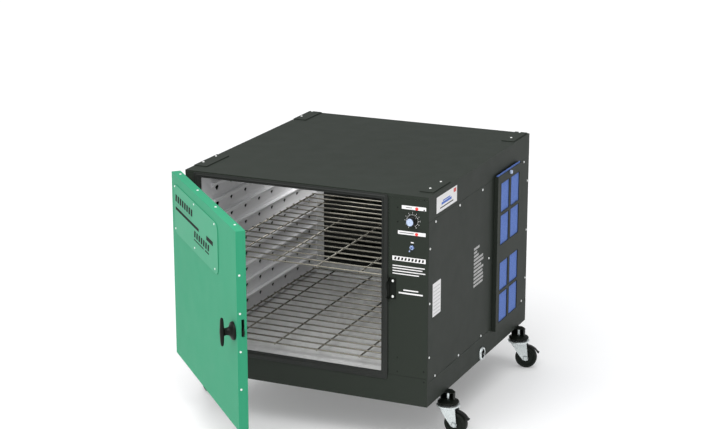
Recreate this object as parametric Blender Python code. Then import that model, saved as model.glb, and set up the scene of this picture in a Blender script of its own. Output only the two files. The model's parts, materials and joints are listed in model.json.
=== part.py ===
"""Drying cabinet on casters: sheet-metal cabinet, hinged door, wire shelves, side filter.

Dimensions are millimetres in cabinet axes: X to the right, Y to the rear, Z up, with the
zero at the front left bottom corner of the cabinet body.  Meshes are stored in metres, and
at the end the whole assembly is centred over the origin with its wheels on Z = 0.
"""
import math

import bmesh
import bpy
from mathutils import Matrix, Vector

# ---------------------------------------------------------------- main sizes (mm)
MM = 0.001
W, D, H = 880.0, 965.0, 711.0
SHEET = 2.0
GAP = 0.4
FLOOR_DROP = 148.0            # underside of the cabinet above the floor

BASE_H = 82.0                 # side seam between base pan and side panels
LID_Z = 628.0                 # side seam between side panels and lid
FRONT_SEAM = 97.0             # front seam between base pan and front panels
LIP_Z = 699.0                 # front seam under the lid
PANEL_X = 742.0               # seam between door surround and control panel

OPEN_X = (60.0, 719.0)        # chamber opening in the front
OPEN_Z = (104.0, 692.0)
GASKET_X = (30.0, 740.0)
GASKET_Z = (78.0, 707.0)
GASKET_T = 5.6

LINER_L, LINER_R = 56.0, 723.0
LINER_BACK = 905.0
RIB_PITCH = 58.6
RIB_ROWS = 10
RIB_FIRST = 105.0
RIB_DEPTH = 14.0
RIB_Y = (78.0, 887.0)
LEDGE = 20.5                  # ledge height above the row datum

SHELF_ROD_X = (-321.0, -235.0, -78.3, 78.3, 235.0, 321.0)
SHELF_MID_X = 389.5
SHELF_Y = (30.0, 849.0)
SHELF_WIRES = 16
ROD, WIRE = 5.0, 4.0

HINGE = Vector((-9.0, -2.0, 0.0))
DOOR_ANGLE = math.radians(46.0)
DOOR_X = (-20.0, 741.5)
DOOR_Z = (62.5, 705.0)
DOOR_INNER = -6.2
DOOR_T = 31.3
HANDLE_X, HANDLE_Z = 702.5, 379.0
CAM_Z = (373.5, 392.5)
HINGE_Z = (150.0, 560.0)

FILTER_SCREW = (W, 721.0, 627.0)

# swivel axis and heading of each caster; the left ones are mirrored
CASTERS = {
    "front_right": (890.0, 166.0, -2.0),
    "rear_right": (891.0, 867.0, 11.0),
    "front_left": (-10.0, 166.0, 40.0),
    "rear_left": (-11.0, 867.0, 20.0),
}
WHEEL_R, WHEEL_W = 40.0, 28.0
AXLE_Z = WHEEL_R - FLOOR_DROP
TRAIL = 29.0
CUP_Z = -38.0                 # underside of the fixed cup, just above the turning crown

COLOURS = {
    "charcoal": (0.035, 0.040, 0.035),
    "black": (0.012, 0.012, 0.012),
    "green": (0.095, 0.40, 0.23),
    "galvanised": (0.33, 0.33, 0.34),
    "zinc": (0.60, 0.62, 0.62),
    "nickel": (0.45, 0.42, 0.37),
    "blue": (0.11, 0.19, 0.50),
    "red": (0.80, 0.02, 0.01),
    "steel": (0.35, 0.42, 0.60),
}


# ---------------------------------------------------------------- geometry helpers
def clear_scene():
    for obj in list(bpy.data.objects):
        bpy.data.objects.remove(obj, do_unlink=True)


def to_frame(p):
    """Cabinet millimetres to metres above the floor."""
    return Vector((p[0] * MM, p[1] * MM, (p[2] + FLOOR_DROP) * MM))


def box(x, y, z):
    """Closed box between two limits on each axis."""
    bm = bmesh.new()
    corners = [bm.verts.new((i, j, k)) for k in z for j in y for i in x]
    for quad in ((0, 2, 3, 1), (4, 5, 7, 6), (0, 1, 5, 4), (2, 6, 7, 3), (0, 4, 6, 2), (1, 3, 7, 5)):
        bm.faces.new([corners[i] for i in quad])
    return bm


def prism(profile, axis, lo, hi):
    """Extrude a closed outline along one axis; the outline is given in the other two."""
    order = {"x": (2, 0, 1), "y": (0, 2, 1), "z": (0, 1, 2)}[axis]
    bm = bmesh.new()
    rings = []
    for level in (lo, hi):
        ring = []
        for u, v in profile:
            values = (u, v, level)
            ring.append(bm.verts.new([values[i] for i in order]))
        rings.append(ring)
    bm.faces.new(rings[0])
    bm.faces.new(rings[1])
    count = len(profile)
    for i in range(count):
        j = (i + 1) % count
        bm.faces.new((rings[0][i], rings[0][j], rings[1][j], rings[1][i]))
    bmesh.ops.recalc_face_normals(bm, faces=bm.faces[:])
    return bm


def loft(rings):
    """Closed tube through rings of equal count; the last ring joins the first."""
    bm = bmesh.new()
    loops = [[bm.verts.new(p) for p in ring] for ring in rings]
    count = len(rings[0])
    for a, b in zip(loops, loops[1:] + loops[:1]):
        for i in range(count):
            j = (i + 1) % count
            bm.faces.new((a[i], a[j], b[j], b[i]))
    bmesh.ops.recalc_face_normals(bm, faces=bm.faces[:])
    return bm


def lathe(profile, centre, axis, segments):
    """Revolve (radius, height) points about an axis; zero radius ends become caps."""
    turn = {"x": Matrix.Rotation(math.radians(90), 3, "Y"), "z": Matrix.Identity(3),
            "y": Matrix.Rotation(math.radians(90), 3, "X")}[axis]
    bm = bmesh.new()
    rings = []
    for radius, height in profile:
        ring = []
        steps = 1 if radius == 0 else segments
        for k in range(steps):
            a = 2 * math.pi * k / segments
            local = Vector((radius * math.cos(a), radius * math.sin(a), height))
            ring.append(bm.verts.new(turn @ local + Vector(centre)))
        rings.append(ring)
    closed = profile[0][0] != 0
    pairs = list(zip(rings, rings[1:]))
    if closed:
        pairs.append((rings[-1], rings[0]))
    for a, b in pairs:
        for k in range(segments):
            m = (k + 1) % segments
            quad = [a[k % len(a)], a[m % len(a)], b[m % len(b)], b[k % len(b)]]
            unique = list(dict.fromkeys(quad))
            bm.faces.new(unique)
    bmesh.ops.recalc_face_normals(bm, faces=bm.faces[:])
    return bm


def cylinder(centre, axis, radius, lo, hi, segments=16):
    return lathe([(0, lo), (radius, lo), (radius, hi), (0, hi)], centre, axis, segments)


def tube(points, radius, sides=8):
    """Round bar through a list of points, mitred at every bend."""
    pts = [Vector(p) for p in points]
    bm = bmesh.new()
    loops = []
    for i, p in enumerate(pts):
        before = (p - pts[i - 1]).normalized() if i else (pts[1] - p).normalized()
        after = (pts[i + 1] - p).normalized() if i + 1 < len(pts) else before
        ahead = (before + after).normalized()
        side = Vector((0, 1, 0))
        up = ahead.cross(side).normalized()
        stretch = 1 / max(0.5, before.dot(ahead))
        loop = []
        for k in range(sides):
            a = 2 * math.pi * k / sides
            loop.append(bm.verts.new(p + side * radius * math.cos(a) + up * radius * stretch * math.sin(a)))
        loops.append(loop)
    for a, b in zip(loops, loops[1:]):
        for k in range(sides):
            m = (k + 1) % sides
            bm.faces.new((a[k], a[m], b[m], b[k]))
    bm.faces.new(loops[0])
    bm.faces.new(loops[-1])
    bmesh.ops.recalc_face_normals(bm, faces=bm.faces[:])
    return bm


def several(parts):
    """Disjoint solids kept together as one operand of a boolean."""
    merged = bmesh.new()
    for bm in parts:
        mesh = bpy.data.meshes.new("piece")
        bm.to_mesh(mesh)
        merged.from_mesh(mesh)
        bpy.data.meshes.remove(mesh)
    return merged


def temp_object(bm):
    mesh = bpy.data.meshes.new("operand")
    bm.to_mesh(mesh)
    obj = bpy.data.objects.new("operand", mesh)
    bpy.context.scene.collection.objects.link(obj)
    return obj


def combine(base, operands, operation):
    """Apply exact booleans one after another and return the resulting bmesh."""
    target = temp_object(base)
    for operand in operands:
        other = temp_object(operand)
        mod = target.modifiers.new("cut", "BOOLEAN")
        mod.operation = operation
        mod.solver = "EXACT"
        mod.object = other
        graph = bpy.context.evaluated_depsgraph_get()
        mesh = bpy.data.meshes.new_from_object(target.evaluated_get(graph))
        target.modifiers.clear()
        target.data = mesh
        bpy.data.objects.remove(other, do_unlink=True)
    result = bmesh.new()
    result.from_mesh(target.data)
    bpy.data.objects.remove(target, do_unlink=True)
    bmesh.ops.remove_doubles(result, verts=result.verts[:], dist=1e-3)
    flat = math.radians(0.5)
    bmesh.ops.dissolve_limit(result, angle_limit=flat, verts=result.verts[:], edges=result.edges[:])
    return result


def union(base, *operands):
    return combine(base, operands, "UNION")


def cut(base, *operands):
    return combine(base, operands, "DIFFERENCE")


def turned(bm, angle, centre, axis="Z"):
    """Rotate a bmesh about a point in cabinet axes."""
    c = Vector(centre)
    matrix = Matrix.Translation(c) @ Matrix.Rotation(angle, 4, axis) @ Matrix.Translation(-c)
    bmesh.ops.transform(bm, matrix=matrix, verts=bm.verts[:])
    return bm


def material(name, colour, metal):
    mat = bpy.data.materials.new(name)
    mat.use_nodes = True
    shader = mat.node_tree.nodes["Principled BSDF"]
    shader.inputs["Base Color"].default_value = (*COLOURS[colour], 1.0)
    shader.inputs["Metallic"].default_value = metal
    shader.inputs["Roughness"].default_value = 0.45
    return mat


def add(name, bm, colour, origin=(0.0, 0.0, 0.0), metal=0.0):
    """Store a cabinet-axes bmesh as a named object whose origin is the given point."""
    bmesh.ops.triangulate(bm, faces=[f for f in bm.faces if len(f.verts) > 4])
    home = to_frame(origin)
    for vert in bm.verts:
        vert.co = to_frame(vert.co) - home
    mesh = bpy.data.meshes.new(name)
    bm.to_mesh(mesh)
    bm.free()
    obj = bpy.data.objects.new(name, mesh)
    obj.location = home
    obj.data.materials.append(material("mat_" + name, colour, metal))
    bpy.context.scene.collection.objects.link(obj)
    return obj


def rounded_rect(x, z, radius, steps=3):
    """Rectangle outline with rounded corners, counter-clockwise."""
    points = []
    corners = ((x[1] - radius, z[1] - radius, 0), (x[0] + radius, z[1] - radius, 90),
               (x[0] + radius, z[0] + radius, 180), (x[1] - radius, z[0] + radius, 270))
    for cx, cz, start in corners:
        for k in range(steps + 1):
            a = math.radians(start + 90 * k / steps)
            points.append((cx + radius * math.cos(a), cz + radius * math.sin(a)))
    return points


# ---------------------------------------------------------------- cabinet shell
def build_shell():
    tray = cut(box((0, W), (0, D), (0, FRONT_SEAM)),
               box((SHEET, W - SHEET), (SHEET, D - SHEET), (SHEET, FRONT_SEAM + 5)),
               box((-5, W + 5), (SHEET, D + 5), (BASE_H, FRONT_SEAM + 5)),
               cylinder((W, 504, 21), "x", 20.0, -10, 10, 20))
    add("base_pan", tray, "charcoal", metal=0.2)

    lid = cut(box((0, W), (0, D), (LID_Z + GAP, H)),
              box((SHEET, W - SHEET), (SHEET, D - SHEET), (LID_Z - 5, H - SHEET)),
              box((-5, W + 5), (-5, SHEET + 0.01), (LID_Z - 5, LIP_Z + GAP)))
    add("top_panel", lid, "charcoal", metal=0.2)

    z = (BASE_H + GAP, LID_Z)
    y = (SHEET + GAP, D - SHEET - GAP)
    add("left_side_panel", box((0, SHEET), y, z), "charcoal", metal=0.2)
    intake = [box((W - 5, W + 5), (634, 820), rows) for rows in ((96, 340), (362, 604))]
    right = cut(box((W - SHEET, W), y, z), several(intake))
    add("right_side_panel", right, "charcoal", metal=0.2)

    vents = [box((220 + 90 * k, 290 + 90 * k), (D - 5, D + 5), (540, 552)) for k in range(5)]
    add("rear_panel", cut(box((0, W), (D - SHEET, D), z), several(vents)), "charcoal", metal=0.2)

    z = (FRONT_SEAM + GAP, LIP_Z)
    surround = cut(box((0, PANEL_X), (0, SHEET), z), box(OPEN_X, (-5, 5), OPEN_Z))
    add("front_frame", surround, "charcoal", metal=0.2)

    panel = union(box((PANEL_X + GAP, W), (0, SHEET), z),
                  box((W - SHEET - GAP - 1.5, W - SHEET - GAP), (SHEET - 0.5, 27), z))
    holes = [cylinder((824, 0, 629), "y", 5.0, -5, 5, 12), cylinder((824, 0, 540), "y", 6.4, -5, 5, 12),
             cylinder((839, 0, 670), "y", 4.4, -5, 5, 12), cylinder((839, 0, 585), "y", 4.4, -5, 5, 12)]
    add("control_panel", cut(panel, several(holes)), "charcoal", metal=0.2)


def build_gasket():
    """Rounded rubber frame that the door presses against."""
    rings = []
    back = -0.3
    sections = ((0.0, back), (0.0, -GASKET_T * 0.6), (0.3, -GASKET_T), (0.7, -GASKET_T), (1.0, -GASKET_T * 0.6), (1.0, back))
    outer = rounded_rect(GASKET_X, GASKET_Z, 8.0, 2)
    inner = rounded_rect((OPEN_X[0] + 1, OPEN_X[1] - 1), (OPEN_Z[0] + 1, OPEN_Z[1] - 1), 4.0, 2)
    for share, depth in sections:
        rings.append([(a[0] + (b[0] - a[0]) * share, depth, a[1] + (b[1] - a[1]) * share) for a, b in zip(outer, inner)])
    add("door_gasket", loft(rings), "black")


def build_corner_plates():
    places = {"front_left": ((0.5, 49), (60, 222)), "rear_left": ((0.5, 51), (823, 964.5)),
              "rear_right": ((826, 873), (815, 963)), "front_right": ((824, 872), (57, 208))}
    for name, (x, y) in places.items():
        add("corner_plate_" + name, box(x, y, (H + 0.3, H + 3.0)), "charcoal", metal=0.2)


# ---------------------------------------------------------------- drying chamber
def rib_profile(row, wall, inward):
    """Pressed rail: sloping underside, short nose and level ledge."""
    base = RIB_FIRST + RIB_PITCH * row
    nose = wall + inward * RIB_DEPTH
    root = wall - inward * 1.0
    return [(root, base + 1), (wall, base + 2), (nose, base + LEDGE - 4), (nose, base + LEDGE), (root, base + LEDGE)]


def build_liners():
    for name, wall, inward in (("left_liner", LINER_L, 1), ("right_liner", LINER_R, -1)):
        slab = box(sorted((wall - 2 * inward, wall)), (SHEET + GAP, LINER_BACK), (104.4, 693.0))
        ribs = [prism(rib_profile(row, wall, inward), "y", *RIB_Y) for row in range(RIB_ROWS)]
        add(name, union(slab, several(ribs)), "galvanised", metal=0.8)
    x = (LINER_L - 2, LINER_R + 2)
    add("chamber_floor", box(x, (SHEET + GAP, 909), (102, 104)), "galvanised", metal=0.8)
    add("chamber_ceiling", box(x, (SHEET + GAP, 909), (693.4, 695.4)), "galvanised", metal=0.8)
    back = box((LINER_L - 2, LINER_R + 2), (LINER_BACK + GAP, LINER_BACK + 2 + GAP), (104.4, 693.0))
    window = box((84, 696), (900, 915), (146, 682))
    add("rear_liner", cut(back, window), "galvanised", metal=0.8)
    slots = [box((110, 670), (900, 915), (172 + 56 * k, 182 + 56 * k)) for k in range(9)]
    baffle = box((84.4, 695.6), (LINER_BACK + GAP, LINER_BACK + 2 + GAP), (146.4, 681.6))
    add("air_baffle", cut(baffle, several(slots)), "black")


def build_shelf(name, row):
    base = RIB_FIRST + RIB_PITCH * row + LEDGE + 0.3
    rods = []
    for offset in SHELF_ROD_X:
        x = SHELF_MID_X + offset
        rods.append(box((x - ROD / 2, x + ROD / 2), (SHELF_Y[0] - 1, SHELF_Y[1] + 1), (base, base + ROD)))
    wires = []
    step = (SHELF_Y[1] - SHELF_Y[0]) / (SHELF_WIRES - 1)
    low = base + ROD - 0.6
    ends = (SHELF_MID_X + SHELF_ROD_X[0] - 5.5, SHELF_MID_X + SHELF_ROD_X[-1] + 5.5)
    for k in range(SHELF_WIRES):
        y = SHELF_Y[0] + step * k
        wires.append(box(ends, (y - WIRE / 2, y + WIRE / 2), (low, low + WIRE)))
    grid = union(several(rods), several(wires))
    add(name, grid, "nickel", origin=(SHELF_MID_X, SHELF_Y[0], base), metal=0.9)


# ---------------------------------------------------------------- air system
def build_air_system():
    shell = prism(rounded_rect((635, 850), (228, 438), 60, 4), "x", 770, 850)
    inner = prism(rounded_rect((638, 847), (231, 435), 57, 4), "x", 773, 847)
    eye = cylinder((850, 735, 333), "x", 50, -12, 12, 20)
    shaft_hole = cylinder((770, 735, 333), "x", 8, -12, 12, 12)
    outlet = box((780, 840), (830, 870), (330, 425))
    add("blower_housing", cut(shell, inner, eye, shaft_hole, outlet), "galvanised", metal=0.7)

    hub = lathe([(4.6, 4), (4.6, 0), (60, 0), (60, 3), (14, 4), (14, 14), (4.6, 14)], (778, 735, 333), "x", 20)
    blades = []
    for k in range(10):
        blade = box((780, 838), (735 + 48, 735 + 59), (332, 334))
        blades.append(turned(blade, 2 * math.pi * k / 10, (0, 735, 333), "X"))
    ring = lathe([(50, 0), (60, 0), (60, 4), (50, 4)], (835, 735, 333), "x", 20)
    wheel = union(hub, several(blades), ring)
    add("blower_impeller", wheel, "black", origin=(800, 735, 333))

    motor = union(cylinder((728, 735, 333), "x", 36, 0, 41, 20), cylinder((728, 735, 333), "x", 4.0, 40, 66, 12))
    add("blower_motor", motor, "galvanised", metal=0.6)

    rise = 52.0
    path = []
    for k in range(6):
        z = 200 + rise * k
        ends = (160, 640) if k % 2 == 0 else (640, 160)
        path += [(ends[0], 936, z), (ends[1], 936, z)]
    add("heater_element", tube(path, 4.0, 8), "zinc", metal=0.9)


# ---------------------------------------------------------------- controls
def build_controls():
    body = cut(box((804, 844), (SHEET + GAP, 40), (609, 649)), cylinder((824, 0, 629), "y", 3.6, -30, 0, 12))
    add("thermostat_body", body, "black")
    profile = [(0, -22), (3.0, -22), (3.0, 0.6), (15.0, 0.6), (15.0, 8), (12.2, 10), (12.0, 24), (10.8, 25), (0, 25)]
    add("thermostat_knob", lathe(profile, (824, 0, 629), "y", 20), "steel", origin=(824, 0, 629), metal=0.3)

    body = union(box((811, 837), (SHEET + GAP, 30), (528, 552)), cylinder((824, 0, 540), "y", 5.8, -4, 8, 12))
    nut = cylinder((824, 0, 540), "y", 8.0, 0.4, 4.4, 6)
    bore = lathe([(0, 3.0), (2.6, 3.0), (4.2, 12), (0, 12)], (824, 0, 540), "y", 12)
    add("toggle_switch_body", cut(union(body, nut), bore), "steel", metal=0.8)
    lever = lathe([(0, -2.4), (1.9, -1.6), (1.9, 10), (3.0, 17), (2.2, 19.5), (0, 20)], (824, -6.4, 540), "y", 10)
    turned(lever, math.radians(20), (824, -6.4, 540), "X")
    add("toggle_lever", lever, "steel", origin=(824, -6.4, 540), metal=0.8)

    for name, z in (("upper", 670), ("lower", 585)):
        lamp = lathe([(0, -12), (4.0, -12), (4.0, 0.4), (5.2, 0.4), (5.2, 1.6), (4.0, 3.0), (0, 3.6)], (839, 0, z), "y", 12)
        add("indicator_lamp_" + name, lamp, "red")


def build_strike():
    """Bracket beside the door: screw flange and a standing tongue with a notch for the cam."""
    flange = box((744, 768), (-2.8, -0.3), (359, 429))
    tongue = prism([(-0.3, 357), (-0.3, 431), (-12, 431), (-28, 419), (-28, 367), (-12, 357)], "x", 743.5, 746.5)
    mouth = box((740, 750), (-40, -7.0), (371, 396))
    hook = box((740, 750), (-24.5, -7.0), (390, 416))
    add("strike_plate", cut(union(flange, tongue), mouth, hook), "black")


# ---------------------------------------------------------------- filter on the right side
def build_filter():
    y, z = (603.0, 842.0), (70.0, 635.0)
    pocket = cut(box((W + 0.3, W + 15), y, z), box((W - 5, W + 13), (y[0] + 2, y[1] - 2), (z[0] + 2, z[1] + 10)))
    windows = []
    for cols in ((633, 716), (734, 820)):
        for rows in ((95, 200), (212, 316), (381, 488), (500, 605)):
            windows.append(box((W + 10, W + 20), cols, rows))
    windows.append(cylinder(FILTER_SCREW, "x", 2.6, 10, 20, 12))
    add("filter_holder", cut(pocket, several(windows)), "charcoal", metal=0.2)
    pad = box((W + 4.5, W + 12.6), (y[0] + 2.6, y[1] - 2.6), (z[0] + 2.6, z[1] + 3.5))
    add("filter_pad", pad, "blue", origin=(W + 8.5, 722.5, z[0] + 2.6))
    profile = [(0, 13.0), (2.2, 13.0), (2.2, 15.5), (6.5, 15.5), (7.0, 22), (5.0, 24), (0, 24)]
    head = (W + 15, *FILTER_SCREW[1:])
    add("filter_thumbscrew", lathe(profile, FILTER_SCREW, "x", 12), "steel", origin=head, metal=0.8)


def build_inlet():
    centre = (W, 504, 21)
    shell = cut(cylinder(centre, "x", 18.5, -34, 1.0, 20), cylinder(centre, "x", 16.0, -20, 5, 20))
    ring = lathe([(16.0, 0.4), (23.5, 0.4), (23.5, 3), (21, 7), (16.0, 7)], centre, "x", 20)
    prongs = []
    for k in range(3):
        prong = box((W - 21, W + 5), (504 + 9, 504 + 12), (21 - 4, 21 + 4))
        prongs.append(turned(prong, 2 * math.pi * k / 3, (0, 504, 21), "X"))
    add("power_inlet", union(shell, ring, several(prongs)), "zinc", metal=0.8)


# ---------------------------------------------------------------- door
def door_add(name, bm, colour, origin=None, metal=0.0):
    """Swing a piece drawn in the closed position to the stored open angle."""
    turned(bm, -DOOR_ANGLE, HINGE)
    spot = Vector(origin if origin else HINGE)
    swing = Matrix.Rotation(-DOOR_ANGLE, 3, "Z")
    return add(name, bm, colour, origin=HINGE + swing @ (spot - HINGE), metal=metal)


def build_door():
    x, z = DOOR_X, DOOR_Z
    y = (DOOR_INNER - DOOR_T, DOOR_INNER)
    pan = cut(box(x, y, z),
              box((x[0] + SHEET, x[1] - SHEET), (y[0] + SHEET, y[1] + 5), (z[0] + SHEET, z[1] - SHEET)),
              box((x[1] - 5, x[1] + 5), (y[0] + 14, y[0] + 23), (369.5, 424.5)),
              cylinder((HANDLE_X, y[0], HANDLE_Z), "y", 9.0, -6, 6, 16))
    door_add("door_skin", pan, "green", metal=0.1)
    inner = box((x[0] + SHEET + GAP, x[1] - SHEET - GAP), (y[1] - SHEET, y[1]), (z[0] + SHEET + GAP, z[1] - SHEET - GAP))
    door_add("door_inner_panel", inner, "galvanised", metal=0.6)
    outline = rounded_rect((x[0] + 36, x[0] + 566), (505, 674), 26, 3)
    door_add("door_badge_plate", prism(outline, "y", y[0] - 2.2, y[0] - 0.3), "green", metal=0.1)

    hub = (HANDLE_X, y[0], HANDLE_Z)
    base = lathe([(0, 0.4), (29, 0.4), (29, 3), (19, 9), (11, 14), (9.5, 32), (0, 32)], hub, "y", 20)
    stem = cylinder(hub, "y", 8.0, -15.5, 2, 16)
    grip = rounded_rect((HANDLE_X - 7.8, HANDLE_X + 7.8), (HANDLE_Z - 46.5, HANDLE_Z + 46.5), 7.4, 3)
    bar = prism(grip, "y", y[0] - 44, y[0] - 30)
    door_add("t_handle", union(base, stem, bar), "black", origin=hub)

    arm = rounded_rect((HANDLE_X - 11, HANDLE_X + 48), CAM_Z, 8, 3)
    cam = prism(arm, "y", y[0] + 16, y[0] + 21)
    door_add("latch_cam", cam, "black", origin=hub)


def build_hinges():
    for name, z in (("lower", HINGE_Z[0]), ("upper", HINGE_Z[1])):
        post = cylinder((HINGE.x, HINGE.y, z), "z", 3.8, 0, 39.7, 12)
        web = box((HINGE.x, -0.3), (-1.2, 1.4), (z, z + 39.7))
        leaf = box((-2.3, -0.3), (0.2, 34), (z, z + 39.7))
        pin = cylinder((HINGE.x, HINGE.y, z), "z", 1.5, 39, 70, 10)
        add("body_hinge_" + name, union(post, web, leaf, pin), "black", metal=0.4)

        post = cylinder((HINGE.x, HINGE.y, z), "z", 3.8, 40.3, 80, 12)
        leaf = box((HINGE.x, 26), (-5.8, -4.0), (z + 40.3, z + 80))
        bore = cylinder((HINGE.x, HINGE.y, z), "z", 1.9, 30, 72, 10)
        door_add("door_hinge_" + name, cut(union(post, leaf), bore), "black", metal=0.4)


# ---------------------------------------------------------------- casters
def build_caster(name, x, y, heading):
    """Stem caster under a bracket: socket fixed, fork swivels, wheel and pedal on the fork."""
    sign = 1 if x > W / 2 else -1
    swivel = (x, y, 0)
    cup = lathe([(6, CUP_Z), (36, CUP_Z), (37, CUP_Z + 3), (35, CUP_Z + 6), (16, CUP_Z + 12), (6, CUP_Z + 12)],
                swivel, "z", 20)
    outer = [(x + sign * u, y + v) for u, v in ((-26, -8), (22, -8), (22, 8), (4, 26), (-26, 26))]
    inner = [(x + sign * u, y + v) for u, v in ((-23, -12), (19, -12), (19, 7), (3, 23), (-23, 23))]
    walls = cut(prism(outer, "z", CUP_Z + 4, -0.4), prism(inner, "z", CUP_Z + 12.1, -3.2))
    clear = cylinder(swivel, "z", 6.0, CUP_Z - 10, -20, 20)
    add("caster_socket_" + name, cut(union(cup, walls), clear), "black")

    turn = math.radians(heading if sign > 0 else 180 - heading)
    axle_x = x + TRAIL
    low, high = CUP_Z - 12, CUP_Z - 0.5
    crown = lathe([(0, low), (40, low), (40, low + 4), (31, high), (0, high)], swivel, "z", 20)
    stem = cylinder(swivel, "z", 5.2, CUP_Z - 2, -3.8, 12)
    leg = [(x - 28, low + 2), (x + 33, low + 2), (axle_x + 9, AXLE_Z - 4), (axle_x + 6, AXLE_Z - 9),
           (axle_x, AXLE_Z - 11), (axle_x - 8, AXLE_Z - 7)]
    sides = [prism(leg, "y", y + edge - 1.5, y + edge + 1.5) for edge in (-18, 18)]
    axle = cylinder((axle_x, y, AXLE_Z), "y", 4.0, -21, 21, 12)
    fork = union(crown, stem, several(sides), axle)
    add("caster_fork_" + name, turned(fork, turn, swivel), "zinc", origin=swivel, metal=0.9)

    rim = WHEEL_R
    half = WHEEL_W / 2
    profile = [(4.4, -half), (14, -half), (15, -9), (28, -9), (30, -half + 1), (rim - 3, -half + 1), (rim, -half + 5),
               (rim, half - 5), (rim - 3, half - 1), (30, half - 1), (28, 9), (15, 9), (14, half), (4.4, half)]
    wheel = lathe(profile, (axle_x, y, AXLE_Z), "y", 24)
    hub = Matrix.Rotation(turn, 3, "Z") @ Vector((TRAIL, 0, 0)) + Vector((x, y, AXLE_Z))
    add("caster_wheel_" + name, turned(wheel, turn, swivel), "black", origin=hub)

    arc = [(43.5, 96), (44, 70), (46.5, 45), (50, 22), (58, 19), (58, 24), (53, 27), (49.5, 45), (47, 70), (47, 96)]
    outline = [(axle_x + r * math.cos(math.radians(a)), AXLE_Z + r * math.sin(math.radians(a))) for r, a in arc]
    pedal = prism(outline, "y", y - 11, y + 11)
    pivot = Matrix.Rotation(turn, 3, "Z") @ Vector((TRAIL - 3, 0, 0)) + Vector((x, y, AXLE_Z + 45.3))
    add("brake_pedal_" + name, turned(pedal, turn, swivel), "black", origin=pivot)


def centre_assembly():
    """Move everything so the overall box stands centred on the origin."""
    bpy.context.view_layer.update()
    points = [obj.matrix_world @ v.co for obj in bpy.data.objects for v in obj.data.vertices]
    low = Vector([min(p[i] for p in points) for i in range(3)])
    high = Vector([max(p[i] for p in points) for i in range(3)])
    offset = Vector(((low.x + high.x) / 2, (low.y + high.y) / 2, low.z))
    for obj in bpy.data.objects:
        obj.location -= offset
    bpy.context.view_layer.update()


def main():
    clear_scene()
    build_shell()
    build_gasket()
    build_corner_plates()
    build_liners()
    build_shelf("lower_shelf", 0)
    build_shelf("upper_shelf", 5)
    build_air_system()
    build_controls()
    build_strike()
    build_filter()
    build_inlet()
    build_door()
    build_hinges()
    for name, (x, y, heading) in CASTERS.items():
        build_caster(name, x, y, heading)
    centre_assembly()


main()
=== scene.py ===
"""Looks of the drying cabinet: folded edges, finishes, screws, printed marks, round-wire racks, studio.

Places are given in cabinet millimetres: X to the right, Y to the rear, Z up, with the zero at
the front left bottom corner of the body.  Door pieces are drawn on the closed door and swung.
"""
import json
import math

import bmesh
import bpy
from mathutils import Matrix, Vector


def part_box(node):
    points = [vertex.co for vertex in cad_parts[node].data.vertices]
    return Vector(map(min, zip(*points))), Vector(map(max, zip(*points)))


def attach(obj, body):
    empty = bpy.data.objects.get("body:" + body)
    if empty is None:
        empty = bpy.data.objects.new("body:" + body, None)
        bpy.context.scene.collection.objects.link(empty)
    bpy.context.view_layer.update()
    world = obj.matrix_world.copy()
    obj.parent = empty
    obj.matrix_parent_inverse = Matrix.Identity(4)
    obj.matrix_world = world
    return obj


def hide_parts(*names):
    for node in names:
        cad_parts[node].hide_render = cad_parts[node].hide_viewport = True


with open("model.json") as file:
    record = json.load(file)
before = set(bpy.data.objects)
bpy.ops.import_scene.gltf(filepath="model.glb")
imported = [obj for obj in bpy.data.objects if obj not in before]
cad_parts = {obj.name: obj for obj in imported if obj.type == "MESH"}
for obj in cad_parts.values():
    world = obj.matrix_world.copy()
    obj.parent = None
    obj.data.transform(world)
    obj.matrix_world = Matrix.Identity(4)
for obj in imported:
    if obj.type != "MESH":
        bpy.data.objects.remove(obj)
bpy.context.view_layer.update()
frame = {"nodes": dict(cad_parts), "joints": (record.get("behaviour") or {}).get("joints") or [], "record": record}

MM = 0.001
NODES = frame["nodes"]
JOINTS = {joint["name"]: joint for joint in frame["joints"]}
SLOTS = {entry["node"]: entry["material_slot"] for entry in frame["record"]["subparts"]}
BODY_OF = {node: body for body, nodes in frame["record"]["behaviour"]["bodies"].items() for node in nodes}

# ---------------------------------------------------------------- places taken from the frame
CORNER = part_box("base_pan")[0]
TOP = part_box("top_panel")[1]
WIDTH, DEPTH, HEIGHT = ((TOP[i] - CORNER[i]) / MM for i in range(3))


def span(node):
    """Lowest and highest corner of a CAD node, in cabinet millimetres."""
    low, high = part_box(node)
    return (low - CORNER) / MM, (high - CORNER) / MM


HINGE = Vector(JOINTS["door_swing"]["pos_m"])
DOOR_OPEN = math.radians(-JOINTS["door_swing"]["range_deg"][0])
DOOR_TURN = Matrix.Rotation(-DOOR_OPEN, 4, "Z")
SWING = Matrix.Translation(HINGE) @ DOOR_TURN @ Matrix.Translation(-HINGE)
TO_ROW = Matrix.Translation(CORNER) @ Matrix.Scale(MM, 4)
DOOR_TO_ROW = SWING @ TO_ROW

# closed door: edges, outer and inner face, face of the raised badge plate, handle
DOOR_LEFT, DOOR_RIGHT = -20.0, 741.5
DOOR_LOW, DOOR_HIGH = 62.5, 705.0
DOOR_FACE, DOOR_INNER = -37.5, -6.2
BADGE_FACE = DOOR_FACE - 2.2
HANDLE_X, HANDLE_Z = 702.5, 379.0

# chamber walls: inner faces, pressed rails, height of a rail's ledge above its row
LINER_X = (56.0, 723.0)
RIB_FIRST, RIB_PITCH, RIB_ROWS = 105.0, 58.6, 10
RIB_Y = (78.0, 887.0)
LEDGE = 20.5

# controls on the front and the power inlet on the right side
DIAL = (824, 0, 629)
TOGGLE = (824, -6.4, 540)
LAMPS = {"upper": (839, 0, 670), "lower": (839, 0, 585)}
INLET_Y, INLET_Z = 504, 21

# depth range of printed marks: on the front sheet, and on a label that lies on it
PRINT = (-0.35, -0.05)
PRINT_ON_LABEL = (-0.65, -0.40)


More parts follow.
